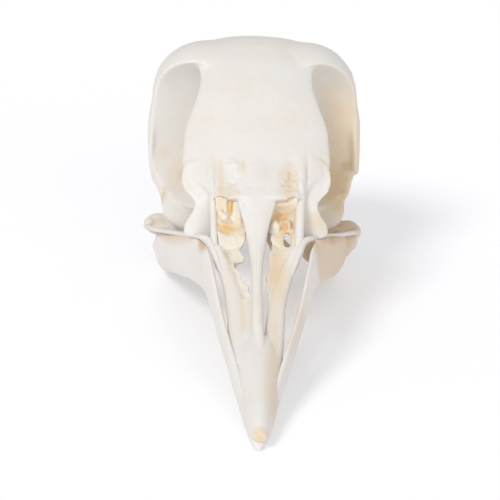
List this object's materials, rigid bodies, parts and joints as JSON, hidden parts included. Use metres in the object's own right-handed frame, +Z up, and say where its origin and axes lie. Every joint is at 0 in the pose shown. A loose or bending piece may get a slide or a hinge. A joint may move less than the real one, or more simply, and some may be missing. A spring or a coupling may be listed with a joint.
{
  "type": "bird skull",
  "caption": "Clean, dry skull of a dove with its lower jaw in place: domed braincase, open eye sockets, slender cheek bars and a long downturned bill, resting on the jaw.",
  "frame": {"origin": "middle of the bounding box at floor level, under the skull as it rests on its lower jaw", "axes": "+Z up, the bill points to -Y, the bird's left side is +X"},
  "size_m": [0.0208, 0.053, 0.0226],
  "materials": {
    "bone": "dry, smooth, ivory-white bone with faint tan stains",
    "jaw_bone": "dry, smooth, ivory-white bone of the lower jaw",
    "inner_bone": "dry, thin bone of palate and orbits, stained tan"
  },
  "bodies": {
    "root": {"braincase": "bone", "parietal_vault": "bone", "occiput": "bone", "frontal_roof": "bone", "interorbital_septum": "inner_bone", "upper_bill": "bone", "mandible": "jaw_bone", "ectethmoid_left": "inner_bone", "nasal_bar_left": "bone", "jugal_bar_left": "bone", "quadrate_left": "bone", "pterygoid_left": "inner_bone", "palatine_left": "inner_bone", "ectethmoid_right": "inner_bone", "nasal_bar_right": "bone", "jugal_bar_right": "bone", "quadrate_right": "bone", "pterygoid_right": "inner_bone", "palatine_right": "inner_bone"}
  },
  "joints": []
}
